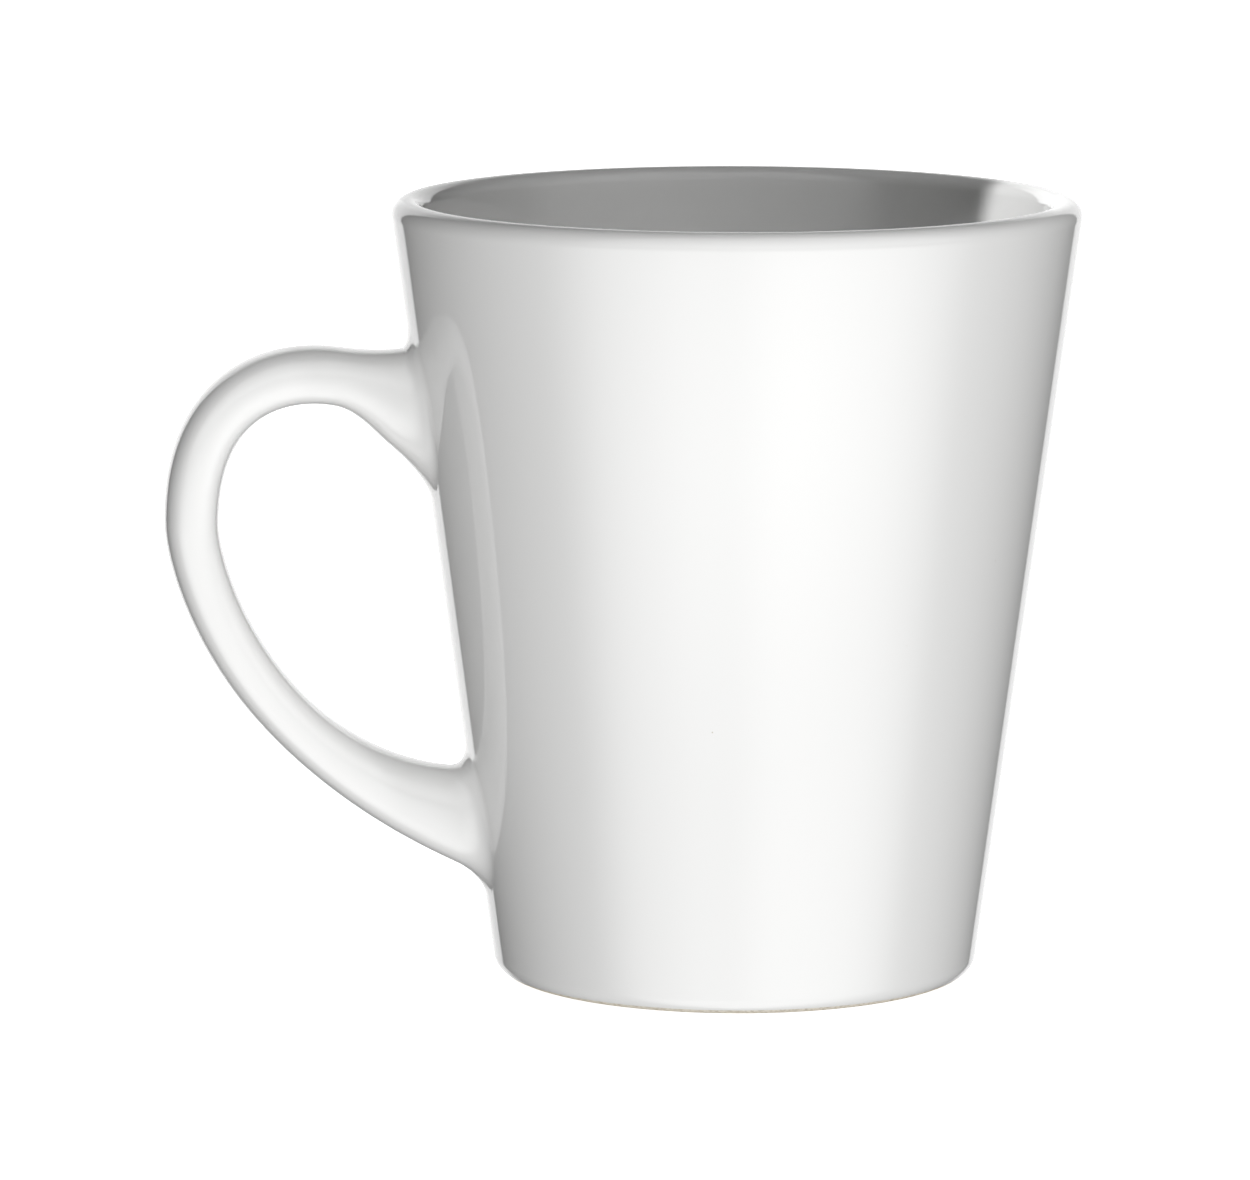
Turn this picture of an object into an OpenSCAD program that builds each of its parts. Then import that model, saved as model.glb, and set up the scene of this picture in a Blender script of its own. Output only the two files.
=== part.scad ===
// Slip-cast ceramic mug: a conical cup on a turned foot, with a loop handle luted on.
// The foot ring rests on z = 0, the cup's axis is Z, and the handle points along -X.
// The coats of glaze are solids of their own, and meet the fired clay face to face.

/* [Cup] */
// Diameter of the wall's cone at rim height, before the lip is rounded
rim_d = 90; // [70:0.5:120]
// Height from the table to the rim
cup_h = 101.6; // [92:0.2:140]
// Diameter of the wall's cone at table height, before the foot is rounded
base_d = 62.6; // [50:0.2:80]
// Wall thickness, glaze included
wall_t = 4.2; // [3:0.1:6]
// Floor thickness, glaze included
floor_t = 5; // [3.5:0.1:9]
// Radius of the inside corner between the wall and the floor
inner_r = 8; // [3:0.5:14]

/* [Foot] */
// Radius that rounds the foot's outer edge
foot_r = 2.7; // [1.5:0.1:4]
// Width of the flat ring that the mug stands on
foot_w = 2.6; // [1.5:0.1:5]
// Depth of the recess inside the foot ring
recess_h = 2.2; // [1:0.1:4]
// Height to which the foot is left bare of glaze
bare_h = 0.7; // [0.4:0.1:1.4]

/* [Handle path] */
// Height at which the upper root's centre meets the wall
upper_z = 74.2; // [60:0.2:78]
// Rise of the handle as it leaves the upper root, in degrees
upper_rise = 40; // [20:1:60]
// Reach of the upper curve from the wall
upper_pull = 12.4; // [8:0.2:20]
// Distance from the cup's axis to the handle's centreline at its outermost point
reach = 70.9; // [62:0.1:85]
// Height of the outermost point
reach_z = 60.1; // [50:0.2:68]
// Length of the bend above the outermost point
crown_pull = 22.6; // [14:0.2:26]
// Length of the bend below the outermost point
back_pull = 5.9; // [3:0.1:14]
// Reach of the lower curve from the wall
lower_pull = 31.2; // [18:0.2:34]
// Rise of the handle as it leaves the lower root, in degrees
lower_rise = 15.5; // [5:0.5:30]
// Height at which the lower root's centre meets the wall
lower_z = 20.4; // [17:0.2:28]

/* [Handle section] */
// Thickness at the top of the loop
top_t = 7.6; // [6:0.1:10]
// Thickness at the bottom of the loop
low_t = 6.4; // [5:0.1:10]
// Width across the loop
grip_w = 11.4; // [9:0.1:16]
// How square the section is: 2 is an ellipse
squareness = 2.6; // [2:0.1:3]
// Height of the upper root on the wall
upper_root_h = 16.8; // [12:0.1:20]
// Width of the upper root
upper_root_w = 13.2; // [10:0.1:18]
// Distance over which the handle swells to the upper root
upper_flare = 10.1; // [8:0.1:16]
// Height of the lower root on the wall
lower_root_h = 14.2; // [10:0.1:18]
// Width of the lower root
lower_root_w = 11.6; // [9:0.1:16]
// Distance over which the handle swells to the lower root
lower_flare = 24.7; // [12:0.1:28]
// Radius of the slip fillet round each root
fillet_r = 3; // [1.8:0.1:3.6]

/* [Clay and glaze] */
// Thickness of each coat of glaze
glaze_t = 0.3; // [0.2:0.05:0.5]
// Distance below the rim at which the outside coat ends on the inside wall
wrap_h = 8; // [5:0.5:20]
// Thickness of the slip between the handle and the wall
slip_t = 0.4; // [0.3:0.05:0.8]

/* [Hidden] */
clay = "Wheat";
bisque = "BurlyWood";
gloss = "White";

facets = 28;        // sides of the handle's section
half_rings = 17;    // rings along each half of the handle
fillet_steps = 4;   // rings in each slip fillet
fillet_pull = 0.6;  // how tightly a fillet curves into its corner
cap_steps = 3;      // rings across each root, under the handle
gap = 1;            // overshoot of a cutting shape

rim_r = rim_d / 2;
base_r = base_d / 2;
lip_r = wall_t / 2;
lean = atan((rim_r - base_r) / cup_h);
out = [cos(lean), -sin(lean)];   // outward across the wall, as [radius, height]
along = [sin(lean), cos(lean)];  // up the wall

lip_c = [wall_r(cup_h - lip_r, lip_r), cup_h - lip_r];
foot_c = [wall_r(foot_r, foot_r), foot_r];
floor_z = recess_h + floor_t;
corner_c = [wall_r(floor_z + inner_r, wall_t + inner_r), floor_z + inner_r];
recess_r = foot_c.x - foot_w;
mid_floor = recess_h + floor_t / 2;
seam_mid = [wall_r(cup_h - wrap_h, lip_r), cup_h - wrap_h];
seam_in = seam_mid - out * wall_t;

// Radius of the cup at a height, at a depth under its glazed face
function wall_r(z, depth = 0) = base_r + (rim_r - base_r) * z / cup_h - depth / cos(lean);

// How far out the wall is in front of the handle, at a width across it and a height
function wall_x(y, z, depth) = sqrt(pow(wall_r(z, depth), 2) - y * y);

// ---- Cup, as half sections of [radius, height] ----

module filled_form(inset) {
    polygon([
        [0, inset],
        [foot_c.x, inset],
        foot_c + out * (foot_r - inset),
        lip_c + out * (lip_r - inset),
        lip_c,
        [0, lip_c.y]
    ]);
    translate(foot_c) circle(foot_r - inset);
    translate(lip_c) circle(lip_r - inset);
}

module cavity(grow) {
    polygon([
        [0, floor_z - grow],
        [corner_c.x, floor_z - grow],
        corner_c + out * (inner_r + grow),
        lip_c - out * (lip_r - grow) + along * wall_t,
        [0, cup_h + wall_t]
    ]);
    translate(corner_c) circle(inner_r + grow);
}

module recess(grow) {
    translate([0, -gap]) square([recess_r - recess_h, recess_h + grow + gap]);
    translate([recess_r - recess_h, 0]) circle(recess_h + grow);
}

module cup_section(inset) {
    difference() {
        filled_form(inset);
        cavity(inset);
        recess(inset);
    }
}

module coat() {
    difference() {
        cup_section(0);
        cup_section(glaze_t);
    }
}

// The outside coat goes over the lip and ends on the inside wall, where the liner takes over
module outer_coat() {
    intersection() {
        coat();
        polygon([
            seam_in,
            [seam_in.x, cup_h + gap],
            [rim_r + gap, cup_h + gap],
            [rim_r + gap, bare_h],
            [wall_r(bare_h, lip_r), bare_h],
            seam_mid
        ]);
    }
}

module liner_coat() {
    intersection() {
        coat();
        polygon([
            [0, seam_in.y],
            seam_in,
            seam_mid,
            [wall_r(mid_floor, lip_r), mid_floor],
            [0, mid_floor]
        ]);
    }
}

module base_coat() {
    intersection() {
        coat();
        translate([0, bare_h]) square([recess_r + foot_w / 2, mid_floor - bare_h]);
    }
}

module body() {
    color(clay) rotate_extrude($fn = 120) difference() {
        cup_section(0);
        outer_coat();
        liner_coat();
        base_coat();
    }
}

module liner_glaze() {
    color(gloss) rotate_extrude($fn = 120) liner_coat();
}

module base_glaze() {
    color(gloss) rotate_extrude($fn = 120) base_coat();
}

// The outside coat has a window at each root, where the clay is joined bare
module outer_glaze() {
    color(gloss) difference() {
        rotate_extrude($fn = 120) outer_coat();
        window(0);
        window(1);
    }
}

module window(side) {
    rotate([90, 0, -90]) linear_extrude(rim_r + gap) polygon(outline(side));
}

// ---- Handle: two cubic curves in the plane y = 0, as [radius, height] ----
// t runs from 0 at the upper root, past 1 at the outermost point, to 2 at the lower root.

upper_end = [wall_r(upper_z), upper_z];
lower_end = [wall_r(lower_z), lower_z];
summit = [reach, reach_z];
upper_curve = [
    upper_end,
    upper_end + upper_pull * [cos(upper_rise), sin(upper_rise)],
    summit + [0, crown_pull],
    summit
];
lower_curve = [
    summit,
    summit - [0, back_pull],
    lower_end + lower_pull * [cos(lower_rise), sin(lower_rise)],
    lower_end
];

function bezier(p, t) =
    p[0] * pow(1 - t, 3) + p[1] * 3 * t * pow(1 - t, 2) + p[2] * 3 * t * t * (1 - t) + p[3] * pow(t, 3);
function slope(p, t) =
    (p[1] - p[0]) * pow(1 - t, 2) + (p[2] - p[1]) * 2 * t * (1 - t) + (p[3] - p[2]) * t * t;
function centre(t) = t < 1 ? bezier(upper_curve, t) : bezier(lower_curve, t - 1);
function heading(t) = unit(t < 1 ? slope(upper_curve, t) : slope(lower_curve, t - 1));
function unit(v) = v / norm(v);
function mix(a, b, k) = a + (b - a) * k;

// Nearness to a root: 0 out on the loop, 1 at the wall
function nearness(t) =
    let (p = centre(t), clear = p.x - wall_r(p.y))
    pow(max(0, 1 - clear / (t < 1 ? upper_flare : lower_flare)), 2);

// The section's own direction in the handle's plane turns to lie along the wall at a root
function crosswise(t) =
    let (h = heading(t))
    unit(mix([-h.y, h.x], (t < 1 ? 1 : -1) * along, nearness(t)));

function half_t(t) = mix(mix(top_t, low_t, t / 2), t < 1 ? upper_root_h : lower_root_h, nearness(t)) / 2;
function half_w(t) = mix(grip_w, t < 1 ? upper_root_w : lower_root_w, nearness(t)) / 2;
function squared(c) = sign(c) * pow(abs(c), 2 / squareness);

// A point of the handle's skin, at a depth under its glazed face, as [x, y, z]
function skin(t, turn, depth) =
    let (
        y = (half_w(t) - depth) * squared(sin(turn)),
        p = centre(t) + crosswise(t) * (half_t(t) - depth) * squared(cos(turn)),
        sink = wall_r(p.y) - wall_x(y, p.y, depth)
    )
    [-(p.x - sink * nearness(t)), y, p.y];

function turns() = [for (i = [0 : facets - 1]) 360 * i / facets];
function ring(t, depth) = [for (a = turns()) skin(t, a, depth)];
function average(r) = [for (p = r) 1] * r / len(r);

// Where the clear distance to the wall equals the fillet's radius
function edge_t(side, t = 0.02) =
    let (u = side == 0 ? t : 2 - t, p = centre(u))
    p.x - wall_r(p.y) >= fillet_r ? u : edge_t(side, t + 0.01);
function end_t(side) = side * 2;

// Outline of a root on the wall, fillet included, as [y, z]
function outline(side) =
    let (r = ring(end_t(side), 0), c = average(r), n = len(r))
    [for (i = [0 : n - 1])
        let (
            run = r[(i + 1) % n] - r[(i + n - 1) % n],
            v = unit([run.z, -run.y]),
            away = v * [r[i].y - c.y, r[i].z - c.z] < 0 ? -v : v
        )
        [r[i].y, r[i].z] + away * fillet_r];

function on_wall(points, depth) = [for (p = points) [-wall_x(p.x, p.y, depth), p.x, p.y]];

// Rings of a fillet from the wall to the handle
function fillet(side, depth) =
    let (
        wall = on_wall(outline(side), depth),
        corner = ring(end_t(side), depth),
        top = ring(edge_t(side), depth)
    )
    [for (j = [0 : fillet_steps])
        [for (i = [0 : facets - 1])
            bezier([
                wall[i],
                mix(wall[i], corner[i], fillet_pull),
                mix(top[i], corner[i], fillet_pull),
                top[i]
            ], j / fillet_steps)]];

// Rings of the bare handle between its two fillets
function loop_rings(depth) =
    let (a = edge_t(0), b = edge_t(1))
    [for (j = [1 : 2 * half_rings - 1]) ring(mix(a, b, j / (2 * half_rings)), depth)];

// Where the handle stops, one coat of slip clear of the wall
function end_ring(side) =
    let (corner = ring(end_t(side), glaze_t), top = ring(edge_t(side), glaze_t))
    [for (i = [0 : facets - 1]) corner[i] + unit(top[i] - corner[i]) * slip_t];

// Rings that close a root, shrinking across a surface that runs along the wall
function cap(edge) =
    let (
        c = average(edge),
        lifts = [for (p = edge) -p.x - wall_x(p.y, p.z, glaze_t)],
        level = average(lifts)
    )
    [for (j = [1 : cap_steps - 1])
        let (k = 1 - j / cap_steps)
        [for (i = [0 : facets - 1])
            let (y = mix(c.y, edge[i].y, k), z = mix(c.z, edge[i].z, k))
            [-wall_x(y, z, glaze_t) - mix(level, lifts[i], k), y, z]]];

// The point at the middle of a cap
function cap_point(edge) =
    let (c = average(edge), lifts = [for (p = edge) -p.x - wall_x(p.y, p.z, glaze_t)])
    [-wall_x(c.y, c.z, glaze_t) - average(lifts), c.y, c.z];

function reverse(list) = [for (i = [len(list) - 1 : -1 : 0]) list[i]];

// Triangles between two rings, from the indices of their first points
function band(a, b) = [
    for (i = [0 : facets - 1])
        let (k = (i + 1) % facets)
        each [[a + i, b + k, a + k], [a + i, b + i, b + k]]
];

// A solid from rings, closed by a point at each end
module capped_solid(first, rings, last) {
    n = len(rings);
    top = n * facets;
    polyhedron(
        points = concat([for (r = rings) each r], [first, last]),
        faces = concat(
            [for (i = [0 : facets - 1]) [top, i, (i + 1) % facets]],
            [for (j = [0 : n - 2]) each band(j * facets, (j + 1) * facets)],
            [for (i = [0 : facets - 1]) [top + 1, top - facets + (i + 1) % facets, top - facets + i]]
        )
    );
}

// A sleeve from rings whose last one joins the first
module sleeve(rings) {
    n = len(rings);
    polyhedron(
        points = [for (r = rings) each r],
        faces = [for (j = [0 : n - 1]) each band(j * facets, (j + 1) % n * facets)]
    );
}

module handle() {
    a = end_ring(0);
    b = end_ring(1);
    color(bisque) capped_solid(
        cap_point(a),
        concat(
            reverse(cap(a)),
            [a, ring(edge_t(0), glaze_t)],
            loop_rings(glaze_t),
            [ring(edge_t(1), glaze_t), b],
            cap(b)
        ),
        cap_point(b)
    );
}

// Slip between a root and the wall, with the fillet that it is smoothed into
module slip(side) {
    foot = on_wall(outline(side), glaze_t);
    edge = end_ring(side);
    rings = concat(reverse(cap(foot)), [foot], fillet_rest(side), [edge], cap(edge));
    if (side == 0) capped_solid(cap_point(foot), rings, cap_point(edge));
    else capped_solid(cap_point(edge), reverse(rings), cap_point(foot));
}
function fillet_rest(side) = let (f = fillet(side, glaze_t)) [for (j = [1 : fillet_steps]) f[j]];

module upper_slip() {
    color(clay) slip(0);
}

module lower_slip() {
    color(clay) slip(1);
}

module handle_glaze() {
    color(gloss) sleeve(concat(
        fillet(0, 0),
        loop_rings(0),
        reverse(fillet(1, 0)),
        fillet(1, glaze_t),
        reverse(loop_rings(glaze_t)),
        reverse(fillet(0, glaze_t))
    ));
}

body();
handle();
upper_slip();
lower_slip();
liner_glaze();
outer_glaze();
handle_glaze();
base_glaze();
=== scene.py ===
# A white glazed ceramic mug: slip-cast conical cup, turned foot, loop handle luted on.
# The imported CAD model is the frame; every coat that can be seen is rebuilt here more finely.
import math

import bmesh
import bpy
from mathutils import Matrix, Vector


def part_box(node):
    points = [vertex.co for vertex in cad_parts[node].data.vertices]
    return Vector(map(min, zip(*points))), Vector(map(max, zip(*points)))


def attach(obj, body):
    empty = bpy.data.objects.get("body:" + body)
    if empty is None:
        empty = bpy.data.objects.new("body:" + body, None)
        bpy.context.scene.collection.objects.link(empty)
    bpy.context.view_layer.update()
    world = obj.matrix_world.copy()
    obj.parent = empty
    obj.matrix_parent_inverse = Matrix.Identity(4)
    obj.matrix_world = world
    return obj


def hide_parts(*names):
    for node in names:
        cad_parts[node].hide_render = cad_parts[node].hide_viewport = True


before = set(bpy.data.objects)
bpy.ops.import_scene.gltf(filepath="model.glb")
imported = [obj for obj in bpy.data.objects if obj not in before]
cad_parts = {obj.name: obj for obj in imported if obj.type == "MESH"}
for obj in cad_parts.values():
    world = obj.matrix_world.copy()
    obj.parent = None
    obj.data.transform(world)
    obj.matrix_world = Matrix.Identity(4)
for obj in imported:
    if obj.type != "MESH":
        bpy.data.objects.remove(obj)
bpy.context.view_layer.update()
mm = 0.001

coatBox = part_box("outer_glaze")
print("frame loaded:", sorted(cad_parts))


def toLinear(hexColour):   # sRGB hex to linear RGBA
    channels = [int(hexColour[i:i + 2], 16) / 255 for i in (1, 3, 5)]
    return [c / 12.92 if c <= 0.04045 else ((c + 0.055) / 1.055) ** 2.4 for c in channels] + [1.0]


def addNode(tree, kind, settings=None, links=None):
    # settings are attributes, or input values by name or number; links join an input to an output
    node = tree.nodes.new(kind)
    for key, value in (settings or {}).items():
        if isinstance(key, str) and hasattr(node, key):
            setattr(node, key, value)
        else:
            node.inputs[key].default_value = value
    for key, socket in (links or {}).items():
        tree.links.new(socket, node.inputs[key])
    return node


def newMaterial(name):
    material = bpy.data.materials.new(name)
    material.use_nodes = True
    material.node_tree.nodes.clear()
    return material, material.node_tree


def unit(v):
    return v / v.length


def mix(a, b, k):
    return a + (b - a) * k


# sizes are in millimetres, as the frame has them
cup = {
    "height": coatBox[1].z / mm,      # rim above the table
    "rimCone": 45.0,                  # radius of the wall's cone at rim height
    "baseCone": 31.3,                 # radius of the same cone at table height
    "wall": 4.2,
    "floor": 5.0,
    "innerCorner": 8.0,
    "footRound": 2.7,
    "footFlat": 2.6,
    "recess": 2.2,
    "bareFoot": 0.7,                  # the wiped band above the table
    "ease": 0.35,                     # the foot ring's inner edge is rubbed round
    "glaze": 0.3,
    "wrap": 8.0,                      # the outside coat ends this far down inside
    "turnSteps": 256,                 # the rest are rows of faces in the turned meshes
    "wallRows": 40,
    "arcRows": 22,
    "flatRows": 12,
    "ringRows": 6,
    "seamRows": 4,
    "bareRows": (8, 4),               # outside and inside of the foot ring
    "easeRows": 5,
}
lean = math.atan((cup["rimCone"] - cup["baseCone"]) / cup["height"])
upward = Vector((math.sin(lean), math.cos(lean)))     # up the wall


def wallRadius(z, depth=0.0):
    rise = (cup["rimCone"] - cup["baseCone"]) * z / cup["height"]
    return cup["baseCone"] + rise - depth / math.cos(lean)


lipRound = cup["wall"] / 2
lipCentre = Vector((wallRadius(cup["height"] - lipRound, lipRound), cup["height"] - lipRound))
footCentre = Vector((wallRadius(cup["footRound"], cup["footRound"]), cup["footRound"]))
floorTop = cup["recess"] + cup["floor"]
cornerHeight = floorTop + cup["innerCorner"]
cornerCentre = Vector((wallRadius(cornerHeight, cup["wall"] + cup["innerCorner"]), cornerHeight))
recessRadius = footCentre.x - cup["footFlat"]
recessCentre = Vector((recessRadius - cup["recess"], 0.0))
leanDegrees = math.degrees(lean)
bareEdge = -math.degrees(math.asin((cup["footRound"] - cup["bareFoot"]) / cup["footRound"]))


def arc(centre, radius, start, end, steps):
    # points on a circle in the (radius, height) plane, angles in degrees
    points = []
    for i in range(steps + 1):
        angle = math.radians(mix(start, end, i / steps))
        points.append(centre + Vector((math.cos(angle), math.sin(angle))) * radius)
    return points


def straight(a, b, steps):
    return [mix(a, b, i / steps) for i in range(1, steps)]


# each profile is a chain of (radius, height) points, which closes on itself or on the axis

def outerSkin(inset):
    # from the bare foot, up the wall and over the lip, to the seam inside
    foot = cup["footRound"] - inset
    seam = cup["height"] - cup["wrap"]
    lip = lipRound - inset
    inside = Vector((wallRadius(seam, cup["wall"] - inset), seam))
    footArc = arc(footCentre, foot, bareEdge, -leanDegrees, cup["arcRows"])
    lipArc = arc(lipCentre, lip, -leanDegrees, 180 - leanDegrees, 2 * cup["arcRows"])
    wall = straight(footArc[-1], lipArc[0], cup["wallRows"])
    return footArc + wall + lipArc + straight(lipArc[-1], inside, cup["seamRows"]) + [inside]


def linerSkin(grow):
    # from the seam down the inside wall, round the corner and over the floor to the axis
    seam = cup["height"] - cup["wrap"]
    corner = cup["innerCorner"] + grow
    top = Vector((wallRadius(seam, cup["wall"] - grow), seam))
    cornerArc = arc(cornerCentre, corner, -leanDegrees, -90, cup["arcRows"])
    middle = Vector((0.0, floorTop - grow))
    wall = straight(top, cornerArc[0], cup["wallRows"])
    return [top] + wall + cornerArc + straight(cornerArc[-1], middle, cup["flatRows"]) + [middle]


def baseSkin(grow):
    # from the axis across the recess and down its rounded side to the wiped foot ring
    radius = cup["recess"] + grow
    low = math.degrees(math.asin(cup["bareFoot"] / radius))
    side = arc(recessCentre, radius, 90, low, cup["arcRows"])
    middle = Vector((0.0, radius))
    return [middle] + straight(middle, side[0], cup["flatRows"]) + side


def coatLoop(skin):
    face, back = skin(0.0), skin(cup["glaze"])
    return face + back[::-1]


def clayLoop():
    # the fired clay under the coats, with the foot ring left bare and its inner edge eased
    ease, glaze = cup["ease"], cup["glaze"]
    outer, inner, under = outerSkin(glaze), linerSkin(glaze), baseSkin(glaze)
    bareOut = arc(footCentre, cup["footRound"], -90, bareEdge, cup["bareRows"][0])
    bareAngle = math.degrees(math.asin(cup["bareFoot"] / cup["recess"]))
    easeAngle = math.degrees(ease / cup["recess"])
    bareIn = arc(recessCentre, cup["recess"], bareAngle, easeAngle, cup["bareRows"][1])
    easing = arc(Vector((recessRadius + ease, ease)), ease, 180, 270, cup["easeRows"])
    ring = straight(easing[-1], bareOut[0], cup["ringRows"])
    return under + bareIn + easing + ring + bareOut + outer + inner


print("profiles ready")


def turningTree():
    # Geometry Nodes: a grid of rows and columns takes the profile and is turned round the axis
    weld = 0.5e-6   # closes the seam and the poles
    tree = bpy.data.node_groups.new("turnedWare", "GeometryNodeTree")
    face = tree.interface
    face.new_socket("Profile", in_out="INPUT", socket_type="NodeSocketGeometry")
    steps = face.new_socket("Steps round the axis", in_out="INPUT", socket_type="NodeSocketInt")
    steps.default_value = 64
    face.new_socket("Surface", in_out="INPUT", socket_type="NodeSocketMaterial")
    face.new_socket("Ware", in_out="OUTPUT", socket_type="NodeSocketGeometry")
    source = addNode(tree, "NodeGroupInput").outputs
    size = addNode(tree, "GeometryNodeAttributeDomainSize", links={0: source[0]})
    count = size.outputs["Point Count"]
    around = addNode(tree, "ShaderNodeMath", {"operation": "ADD", 1: 1.0}, {0: source[1]}).outputs[0]
    grid = addNode(tree, "GeometryNodeMeshGrid",
                   links={"Vertices X": around, "Vertices Y": count}).outputs["Mesh"]
    index = addNode(tree, "GeometryNodeInputIndex").outputs[0]
    ratio = addNode(tree, "ShaderNodeMath", {"operation": "DIVIDE"}, {0: index, 1: count}).outputs[0]
    column = addNode(tree, "ShaderNodeMath", {"operation": "FLOOR"}, {0: ratio}).outputs[0]
    row = addNode(tree, "ShaderNodeMath", {"operation": "MODULO"}, {0: index, 1: count}).outputs[0]
    place = addNode(tree, "GeometryNodeInputPosition").outputs[0]
    point = addNode(tree, "GeometryNodeSampleIndex", {"data_type": "FLOAT_VECTOR"},
                    {"Geometry": source[0], "Value": place, "Index": row}).outputs["Value"]
    share = addNode(tree, "ShaderNodeMath", {"operation": "DIVIDE"}, {0: column, 1: source[1]}).outputs[0]
    angle = addNode(tree, "ShaderNodeMath", {"operation": "MULTIPLY", 1: 2 * math.pi},
                    {0: share}).outputs[0]
    turned = addNode(tree, "ShaderNodeVectorRotate", {"rotation_type": "Z_AXIS"},
                     {"Vector": point, "Angle": angle}).outputs[0]
    placed = addNode(tree, "GeometryNodeSetPosition", links={0: grid, "Position": turned})
    joined = addNode(tree, "GeometryNodeMergeByDistance", {"Distance": weld}, {0: placed.outputs[0]})
    real = addNode(tree, "GeometryNodeRealizeInstances", links={0: joined.outputs[0]})
    finished = addNode(tree, "GeometryNodeSetMaterial",
                       links={0: real.outputs[0], "Material": source[2]})
    addNode(tree, "NodeGroupOutput", links={0: finished.outputs[0]})
    return tree


def turnedPiece(name, loop, material, tree):
    # the profile is a chain of edges in the plane y = 0, and closes on itself or on the axis
    closed = loop[0].x > 0 or loop[-1].x > 0
    if closed:
        loop = loop + [loop[0]]
    profile = bpy.data.meshes.new(name + "Profile")
    profile.from_pydata([(p.x * mm, 0.0, p.y * mm) for p in loop],
                        [(i, i + 1) for i in range(len(loop) - 1)], [])
    maker = bpy.data.objects.new(name + "Maker", profile)
    bpy.context.scene.collection.objects.link(maker)
    turning = maker.modifiers.new("turning", "NODES")
    turning.node_group = tree
    sockets = {s.name: s.identifier for s in tree.interface.items_tree if s.in_out == "INPUT"}
    turning[sockets["Steps round the axis"]] = cup["turnSteps"]
    turning[sockets["Surface"]] = material
    evaluated = maker.evaluated_get(bpy.context.evaluated_depsgraph_get())
    mesh = bpy.data.meshes.new_from_object(evaluated)
    bpy.data.objects.remove(maker)
    return finishPiece(name, mesh, material)


def finishPiece(name, mesh, material):
    # faces outward, smooth, with sharp edges only at real corners
    sliver, corner = 1e-8, math.radians(50)
    shape = bmesh.new()
    shape.from_mesh(mesh)
    bmesh.ops.dissolve_degenerate(shape, edges=shape.edges, dist=sliver)
    if shape.calc_volume(signed=True) < 0:
        bmesh.ops.reverse_faces(shape, faces=shape.faces)
    loose = sum(1 for edge in shape.edges if len(edge.link_faces) != 2)
    shape.to_mesh(mesh)
    shape.free()
    mesh.name = name
    mesh.shade_smooth()
    mesh.set_sharp_from_angle(angle=corner)
    mesh.materials.clear()
    mesh.materials.append(material)
    piece = bpy.data.objects.new(name, mesh)
    bpy.context.scene.collection.objects.link(piece)
    print(name, len(mesh.vertices), "points,", loose, "open edges")
    return piece


# the handle is swept along two cubic curves in the plane y = 0
handle = {
    "upperHeight": 74.2, "upperRise": 40.0, "upperPull": 12.4,
    "reach": 70.9, "reachHeight": 60.1, "crownPull": 22.6, "backPull": 5.9,
    "lowerHeight": 20.4, "lowerRise": 15.5, "lowerPull": 31.2,
    "topThickness": 7.6, "lowThickness": 6.4, "width": 11.4,
    "squareness": 2.6,                 # 2 is an ellipse, more is nearer a rectangle
    "upperRoot": (16.8, 13.2, 10.1),   # height, width and flare of each root
    "lowerRoot": (14.2, 11.6, 24.7),
    "fillet": 3.0, "filletPull": 0.6,
    "sides": 96, "halfRings": 56, "filletRings": 14,
}


def towards(degrees):
    return Vector((math.cos(math.radians(degrees)), math.sin(math.radians(degrees))))


upperEnd = Vector((wallRadius(handle["upperHeight"]), handle["upperHeight"]))
lowerEnd = Vector((wallRadius(handle["lowerHeight"]), handle["lowerHeight"]))
summit = Vector((handle["reach"], handle["reachHeight"]))
upperCurve = [upperEnd, upperEnd + towards(handle["upperRise"]) * handle["upperPull"],
              summit + Vector((0, handle["crownPull"])), summit]
lowerCurve = [summit, summit - Vector((0, handle["backPull"])),
              lowerEnd + towards(handle["lowerRise"]) * handle["lowerPull"], lowerEnd]


def bezier(p, t):
    s = 1 - t
    return p[0] * s ** 3 + p[1] * 3 * t * s * s + p[2] * 3 * t * t * s + p[3] * t ** 3


def heading(t):
    p, s = (upperCurve, t) if t < 1 else (lowerCurve, t - 1)
    first, middle, last = p[1] - p[0], p[2] - p[1], p[3] - p[2]
    return unit(first * (1 - s) ** 2 + middle * 2 * s * (1 - s) + last * s * s)


def centreLine(t):
    # t is 0 at the upper root, 1 at the outermost point and 2 at the lower root
    return bezier(upperCurve, t) if t < 1 else bezier(lowerCurve, t - 1)


def nearness(t):
    p = centreLine(t)
    flare = handle["upperRoot" if t < 1 else "lowerRoot"][2]
    return max(0.0, 1 - (p.x - wallRadius(p.y)) / flare) ** 2


def wallReach(y, z, depth):
    return math.sqrt(wallRadius(z, depth) ** 2 - y * y)


def squared(c):
    return math.copysign(abs(c) ** (2 / handle["squareness"]), c)


def sectionRing(t, depth):
    near = nearness(t)
    rootHeight, rootWidth, _ = handle["upperRoot" if t < 1 else "lowerRoot"]
    h = heading(t)
    across = unit(mix(Vector((-h.y, h.x)), upward * (1 if t < 1 else -1), near))
    thick = mix(mix(handle["topThickness"], handle["lowThickness"], t / 2), rootHeight, near) / 2
    wide = mix(handle["width"], rootWidth, near) / 2
    ring = []
    for i in range(handle["sides"]):
        turn = 2 * math.pi * i / handle["sides"]
        p = centreLine(t) + across * (thick - depth) * squared(math.cos(turn))
        y = (wide - depth) * squared(math.sin(turn))
        sink = wallRadius(p.y) - wallReach(y, p.y, depth)
        ring.append(Vector((-(p.x - sink * near), y, p.y)))
    return ring


def edgeOf(root):
    # where the handle's middle line has come as far from the wall as the fillet
    step, t = 0.002, 0.0
    while True:
        t += step
        u = t if root == 0 else 2 - t
        p = centreLine(u)
        if p.x - wallRadius(p.y) >= handle["fillet"]:
            return u


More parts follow.
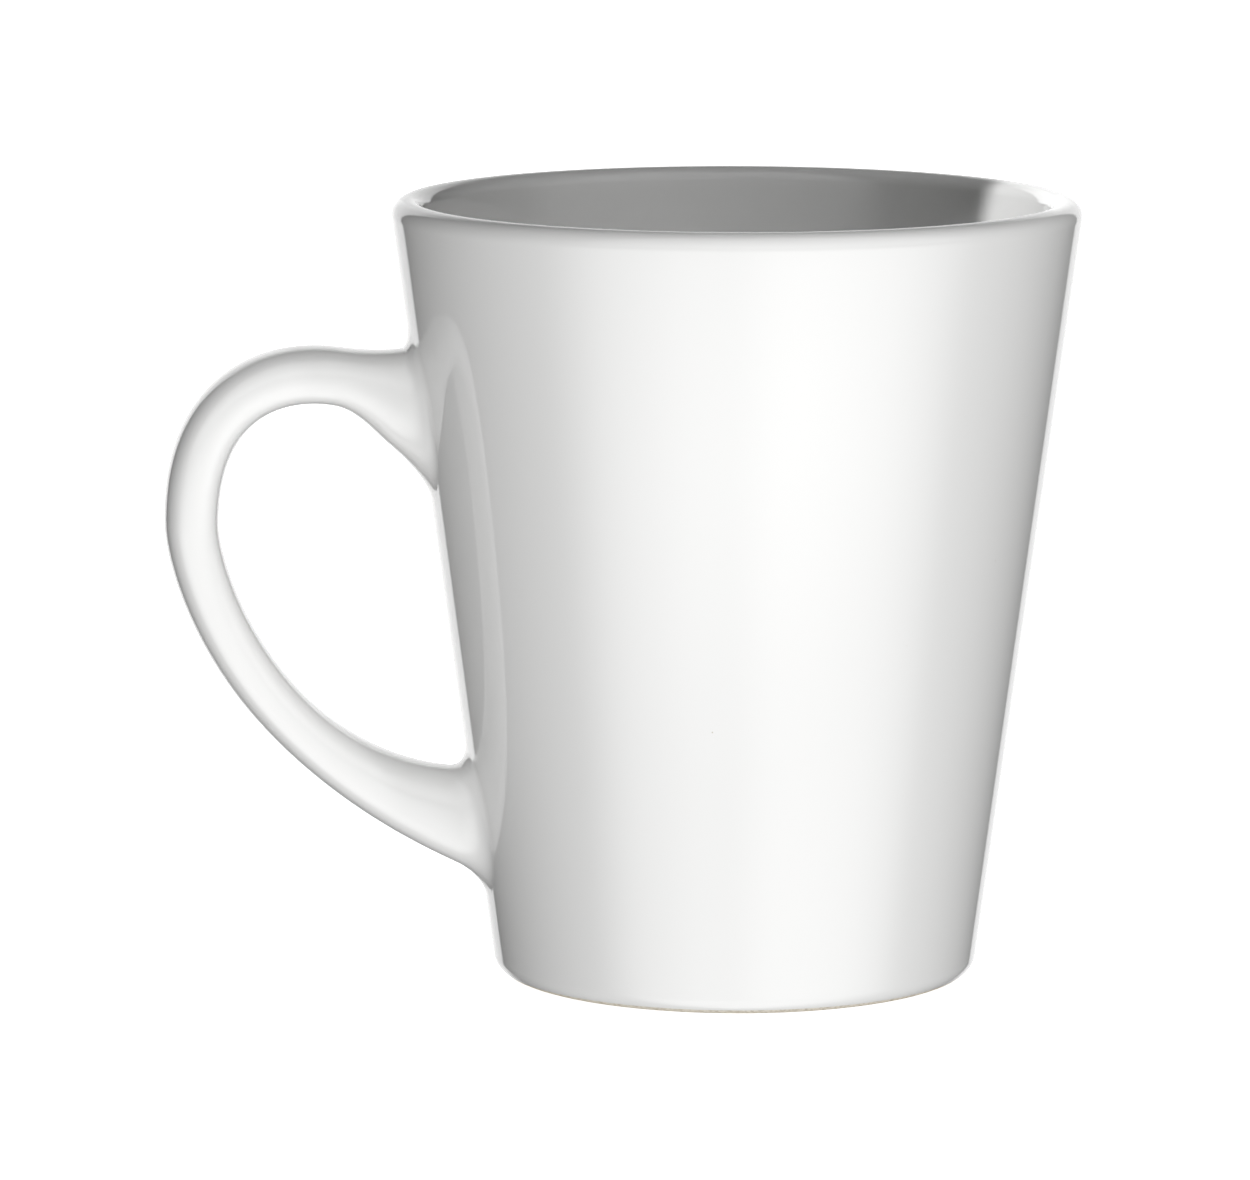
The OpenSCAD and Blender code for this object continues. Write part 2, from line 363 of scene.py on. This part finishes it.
def rootOutline(root):
    # the fillet's foot on the wall, as (y, z)
    ring = sectionRing(2.0 * root, 0.0)
    n = len(ring)
    middle = sum(ring, Vector()) / n
    outline = []
    for i, p in enumerate(ring):
        run = ring[(i + 1) % n] - ring[i - 1]
        away = unit(Vector((run.z, -run.y)))
        if away.dot(Vector((p.y - middle.y, p.z - middle.z))) < 0:
            away = -away
        outline.append(Vector((p.y, p.z)) + away * handle["fillet"])
    return outline


def filletRings(root, depth):
    foot = [Vector((-wallReach(p.x, p.y, depth), p.x, p.y)) for p in rootOutline(root)]
    corner = sectionRing(2.0 * root, depth)
    top = sectionRing(edgeOf(root), depth)
    pull = handle["filletPull"]
    rings = []
    for j in range(handle["filletRings"] + 1):
        t = j / handle["filletRings"]
        rings.append([bezier([a, mix(a, c, pull), mix(b, c, pull), b], t)
                      for a, b, c in zip(foot, top, corner)])
    return rings


def tuckedRing(root):
    # the coat's edge dips a hair under the cup's own coat, so that no seam shows
    tuck, run = 0.06, 0.8   # how deep, and how far past the fillet
    ring = rootOutline(root)
    middle = sum(ring, Vector((0.0, 0.0))) / len(ring)
    spread = [p + unit(p - middle) * run for p in ring]
    return [Vector((-wallReach(p.x, p.y, tuck), p.x, p.y)) for p in spread]


def loopRings(depth):
    a, b = edgeOf(0), edgeOf(1)
    n = 2 * handle["halfRings"]
    return [sectionRing(mix(a, b, j / n), depth) for j in range(1, n)]


def sleeve(name, rings, material):
    n = handle["sides"]
    points = [p * mm for ring in rings for p in ring]
    faces = []
    for j in range(len(rings)):
        a, b = j * n, (j + 1) % len(rings) * n
        faces += [(a + i, a + (i + 1) % n, b + (i + 1) % n, b + i) for i in range(n)]
    mesh = bpy.data.meshes.new(name)
    mesh.from_pydata(points, [], faces)
    return finishPiece(name, mesh, material)


def whiteGlaze():
    # opaque white stoneware glaze, fired glossy: a glassy coat with slow ripples left by the
    # dipping, a very fine pebbling, and a rare pale speck
    glaze = {
        "colour": "#F1F1F0", "roughness": 0.02, "ior": 1.52, "speckColour": "#CFC9BE",
        "rippleSize": 14 * mm, "rippleHeight": 0.020 * mm,
        "pebbleSize": 1.6 * mm, "pebbleHeight": 0.0012 * mm,
        "speckSpacing": 9 * mm, "speckRadius": 0.13 * mm,
    }
    material, tree = newMaterial("whiteGlossGlaze")
    place = addNode(tree, "ShaderNodeTexCoord").outputs["Object"]
    ripple = addNode(tree, "ShaderNodeTexNoise", {"Scale": 1 / glaze["rippleSize"], "Detail": 1.0},
                     {"Vector": place}).outputs[0]
    pebble = addNode(tree, "ShaderNodeTexNoise", {"Scale": 1 / glaze["pebbleSize"], "Detail": 2.0},
                     {"Vector": place}).outputs[0]
    bump = addNode(tree, "ShaderNodeBump", {"Strength": 1.0, "Distance": glaze["rippleHeight"]},
                   {"Height": ripple})
    bump2 = addNode(tree, "ShaderNodeBump", {"Strength": 1.0, "Distance": glaze["pebbleHeight"]},
                    {"Height": pebble, "Normal": bump.outputs[0]})
    cells = addNode(tree, "ShaderNodeTexVoronoi", {"Scale": 1 / glaze["speckSpacing"]},
                    {"Vector": place})
    limit = glaze["speckRadius"] / glaze["speckSpacing"]
    dot = addNode(tree, "ShaderNodeMapRange", {"From Min": limit, "From Max": limit * 0.5},
                  {"Value": cells.outputs["Distance"]}).outputs[0]
    # the mix node's colours are its sockets 6 and 7
    tint = addNode(tree, "ShaderNodeMix", {"data_type": "RGBA", 6: toLinear(glaze["colour"]),
                                           7: toLinear(glaze["speckColour"])}, {0: dot})
    shader = addNode(tree, "ShaderNodeBsdfPrincipled",
                     {"Roughness": glaze["roughness"], "IOR": glaze["ior"]},
                     {"Base Color": tint.outputs[2], "Normal": bump2.outputs[0]})
    addNode(tree, "ShaderNodeOutputMaterial", links={"Surface": shader.outputs[0]})
    return material


def bareClay():
    # fired stoneware left unglazed: matt, warm off-white, with fine sand grains that catch dirt
    clay = {
        "colour": "#E3DCCD", "grainColour": "#B9AE9B", "roughness": 0.8, "ior": 1.5,
        "grainSize": 0.45 * mm, "grainHeight": 0.05 * mm, "grainStrength": 0.6,
        "grainFrom": 0.45, "grainTo": 0.75,   # the noise levels between which grains show
    }
    material, tree = newMaterial("bareStoneware")
    place = addNode(tree, "ShaderNodeTexCoord").outputs["Object"]
    grain = addNode(tree, "ShaderNodeTexNoise", {"Scale": 1 / clay["grainSize"], "Detail": 3.0},
                    {"Vector": place}).outputs[0]
    amount = addNode(tree, "ShaderNodeMapRange", {"From Min": clay["grainFrom"], "From Max": clay["grainTo"]},
                     {"Value": grain}).outputs[0]
    tint = addNode(tree, "ShaderNodeMix", {"data_type": "RGBA", 6: toLinear(clay["colour"]),
                                           7: toLinear(clay["grainColour"])}, {0: amount})
    bump = addNode(tree, "ShaderNodeBump",
                   {"Strength": clay["grainStrength"], "Distance": clay["grainHeight"]},
                   {"Height": grain})
    shader = addNode(tree, "ShaderNodeBsdfPrincipled",
                     {"Roughness": clay["roughness"], "IOR": clay["ior"]},
                     {"Base Color": tint.outputs[2], "Normal": bump.outputs[0]})
    addNode(tree, "ShaderNodeOutputMaterial", links={"Surface": shader.outputs[0]})
    return material


glazeMaterial = whiteGlaze()
clayMaterial = bareClay()
print("materials ready")

turning = turningTree()
outerCoat = turnedPiece("outerCoat", coatLoop(outerSkin), glazeMaterial, turning)
linerCoat = turnedPiece("linerCoat", coatLoop(linerSkin), glazeMaterial, turning)
baseCoat = turnedPiece("baseCoat", coatLoop(baseSkin), glazeMaterial, turning)
clayCup = turnedPiece("clayCup", clayLoop(), clayMaterial, turning)
print("cup turned")

outFace = filletRings(0, 0.0) + loopRings(0.0) + filletRings(1, 0.0)[::-1]
inFace = filletRings(1, cup["glaze"]) + loopRings(cup["glaze"])[::-1] + filletRings(0, cup["glaze"])[::-1]
coatRings = [tuckedRing(0)] + outFace + [tuckedRing(1)] + inFace
handleCoat = sleeve("handleCoat", coatRings, glazeMaterial)
print("handle swept")

standsFor = (
    (outerCoat, "outer_glaze", "white_glaze"),
    (linerCoat, "liner_glaze", "white_glaze"),
    (baseCoat, "base_glaze", "white_glaze"),
    (handleCoat, "handle_glaze", "white_glaze"),
    (clayCup, "body", "fired_clay"),
)
for piece, node, slot in standsFor:
    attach(piece, "root")
    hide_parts(node)

for node in ("handle", "upper_slip", "lower_slip"):   # under the glaze, and bare clay all through
    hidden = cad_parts[node]
    for place in hidden.material_slots:
        place.material = clayMaterial

studio = {
    "floorColour": "#FFFFFF", "floorGlow": 0.78, "floorSize": 2.5, "floorRoughness": 0.9,
    "cameraDistance": 0.998, "cameraPitch": 8.721, "cameraRoll": 0.067, "lens": 220.3, "sensor": 36,
    "aimHeight": 0.0502, "sideStep": 0.014416, "handleTurn": 6.0,
    "white": (1, 1, 1, 1), "cardColour": "#050505",
}


def buildFloor():
    # a plain pale floor, which neither lights the mug nor shows in its glaze
    size = studio["floorSize"]
    corners = [(-size, -size, 0), (size, -size, 0), (size, size, 0), (-size, size, 0)]
    mesh = bpy.data.meshes.new("floor")
    mesh.from_pydata(corners, [], [(0, 1, 2, 3)])
    floor = bpy.data.objects.new("floor", mesh)
    bpy.context.scene.collection.objects.link(floor)
    material, tree = newMaterial("paleFloor")
    shader = addNode(tree, "ShaderNodeBsdfPrincipled", {
        "Base Color": toLinear(studio["floorColour"]), "Roughness": studio["floorRoughness"],
        "Specular IOR Level": 0.0, "Emission Color": studio["white"],
        "Emission Strength": studio["floorGlow"]})
    addNode(tree, "ShaderNodeOutputMaterial", links={"Surface": shader.outputs[0]})
    mesh.materials.append(material)
    floor.visible_diffuse = False
    floor.visible_glossy = False


def buildWorld():
    # soft light from all round, as boxes of compass bearing (0 = -Y, + = towards +X) and height;
    # each box rises between its first two angles and falls between its last two, in degrees
    boxes = [
        {"level": 1.42, "bearing": (-80, -56, 46, 86), "height": (-95, -91, -26, 2)},    # lit table in front
        {"level": 0.55, "bearing": (-70, -34, 24, 64), "height": (-95, -91, -60, -30)},
        {"level": 0.6, "bearing": (-66, -46, -28, -4), "height": (-70, -40, -12, 14)},   # near light, left
        {"level": 0.66, "bearing": (-10, 14, 64, 84), "height": (-48, -26, -12, 4)},     # key light
        {"level": 1.25, "bearing": (-70, -50, 62, 86), "height": (0, 14, 68, 88)},      # fill over the camera
        {"level": 0.32, "bearing": (50, 80, 104, 122), "height": (2, 16, 50, 80)},      # fill, right
        {"level": 1.4, "bearing": (-185, -181, -158, -155), "height": (-30, -18, 18, 40)},  # backdrop
        {"level": 1.2, "bearing": (147, 151, 181, 185), "height": (-30, -18, 18, 40)},
    ]
    world = bpy.data.worlds.new("studio")
    bpy.context.scene.world = world
    world.use_nodes = True
    tree = world.node_tree
    tree.nodes.clear()
    place = addNode(tree, "ShaderNodeTexCoord").outputs["Generated"]
    part = addNode(tree, "ShaderNodeSeparateXYZ", links={0: place}).outputs
    front = addNode(tree, "ShaderNodeMath", {"operation": "MULTIPLY", 1: -1.0}, {0: part[1]}).outputs[0]
    turn = addNode(tree, "ShaderNodeMath", {"operation": "ARCTAN2"}, {0: part[0], 1: front}).outputs[0]
    rise = addNode(tree, "ShaderNodeMath", {"operation": "ARCSINE"}, {0: part[2]}).outputs[0]
    bearing, height = [addNode(tree, "ShaderNodeMath", {"operation": "DEGREES"}, {0: angle}).outputs[0]
                       for angle in (turn, rise)]
    total = None
    for box in boxes:
        lit = None
        for value, (start, full, last, end) in ((bearing, box["bearing"]), (height, box["height"])):
            for dark, bright in ((start, full), (end, last)):
                edge = addNode(tree, "ShaderNodeMapRange", {"interpolation_type": "SMOOTHSTEP",
                                                            "From Min": dark, "From Max": bright},
                               {"Value": value}).outputs[0]
                if lit is None:
                    lit = edge
                else:
                    lit = addNode(tree, "ShaderNodeMath", {"operation": "MULTIPLY"},
                                  {0: lit, 1: edge}).outputs[0]
        added = {} if total is None else {2: total}
        total = addNode(tree, "ShaderNodeMath", {"operation": "MULTIPLY_ADD", 1: box["level"], 2: 0.0},
                        {0: lit, **added}).outputs[0]
    light = addNode(tree, "ShaderNodeBackground", {"Color": studio["white"]}, {"Strength": total})
    backdrop = addNode(tree, "ShaderNodeBackground", {"Color": studio["white"], "Strength": 1.0})
    ray = addNode(tree, "ShaderNodeLightPath").outputs["Is Camera Ray"]
    both = addNode(tree, "ShaderNodeMixShader", links={0: ray, 1: light.outputs[0], 2: backdrop.outputs[0]})
    addNode(tree, "ShaderNodeOutputWorld", links={0: both.outputs[0]})


def buildFlag():
    # a black card curved round the front of the mouth: it keeps the fill light out of the cup
    flag = {"radius": 0.0465, "bottom": 0.107, "top": 0.30, "left": -106, "right": 44, "steps": 40}
    points, faces = [], []
    for i in range(flag["steps"] + 1):
        around = math.radians(mix(flag["left"], flag["right"], i / flag["steps"]))
        x, y = math.sin(around) * flag["radius"], -math.cos(around) * flag["radius"]
        points += [(x, y, flag["bottom"]), (x, y, flag["top"])]
    for i in range(flag["steps"]):
        faces.append((2 * i, 2 * i + 2, 2 * i + 3, 2 * i + 1))
    mesh = bpy.data.meshes.new("flag")
    mesh.from_pydata(points, [], faces)
    card = bpy.data.objects.new("flag", mesh)
    bpy.context.scene.collection.objects.link(card)
    material, tree = newMaterial("blackCard")
    shader = addNode(tree, "ShaderNodeBsdfDiffuse", {"Color": toLinear(studio["cardColour"])})
    addNode(tree, "ShaderNodeOutputMaterial", links={"Surface": shader.outputs[0]})
    mesh.materials.append(material)
    card.visible_camera = False
    card.visible_glossy = False


def fromBearing(bearing, height):
    # the direction of a compass bearing and height, in degrees, as a unit vector
    around, up = math.radians(bearing), math.radians(height)
    return Vector((math.sin(around) * math.cos(up), -math.cos(around) * math.cos(up), math.sin(up)))


def buildLamps():
    # two small snooted lamps, one for the inside wall at the right and one for the handle, and a
    # broad soft light from behind, level with the mug, so that its back is lit too
    lamps = [
        {"name": "mouthLamp", "kind": "SPOT", "bearing": -72.0, "height": 33.0, "distance": 0.08,
         "target": (0.0425, 0.0, 0.097), "settings": {
             "energy": 0.20, "spot_size": math.radians(31.0), "spot_blend": 0.25, "shadow_soft_size": 0.002}},
        {"name": "handleLamp", "kind": "SPOT", "bearing": 46.0, "height": 22.0, "distance": 0.60,
         "target": (-0.078, 0.0, 0.041), "settings": {
             "energy": 2.0, "spot_size": math.radians(7.4), "spot_blend": 0.6, "shadow_soft_size": 0.02}},
        {"name": "backLamp", "kind": "SUN", "bearing": 173.0, "height": 1.0, "distance": 0.0,
         "target": (0.0, 0.0, 0.0), "settings": {"energy": 1.3, "angle": math.radians(24.0)}},
    ]
    for lamp in lamps:
        away = fromBearing(lamp["bearing"], lamp["height"])
        data = bpy.data.lights.new(lamp["name"], lamp["kind"])
        for setting, value in lamp["settings"].items():
            setattr(data, setting, value)
        light = bpy.data.objects.new(lamp["name"], data)
        light.location = Vector(lamp["target"]) + away * lamp["distance"]
        light.rotation_mode = "QUATERNION"
        light.rotation_quaternion = away.to_track_quat("Z", "Y")
        light.visible_glossy = False
        bpy.context.scene.collection.objects.link(light)


def buildCamera():
    # a long lens from the front, a little above the mug and turned towards the handle's side
    pitch = math.radians(studio["cameraPitch"])
    turn = math.radians(studio["handleTurn"])
    back = Vector((0, -math.cos(pitch), math.sin(pitch)))
    spot = Vector((-studio["sideStep"], 0, studio["aimHeight"])) + back * studio["cameraDistance"]
    spin = Matrix.Rotation(-turn, 3, "Z")
    view = (spin @ -back).to_track_quat("-Z", "Y")
    data = bpy.data.cameras.new("camera")
    data.lens = studio["lens"]
    data.sensor_width = studio["sensor"]
    camera = bpy.data.objects.new("camera", data)
    camera.rotation_mode = "QUATERNION"
    camera.location = spin @ spot
    roll = Matrix.Rotation(math.radians(studio["cameraRoll"]), 3, "Z").to_quaternion()
    camera.rotation_quaternion = view @ roll
    bpy.context.scene.collection.objects.link(camera)
    bpy.context.scene.camera = camera


buildFloor()
buildWorld()
buildFlag()
buildLamps()
buildCamera()
bpy.context.scene.view_settings.view_transform = "Standard"
print("stage ready")
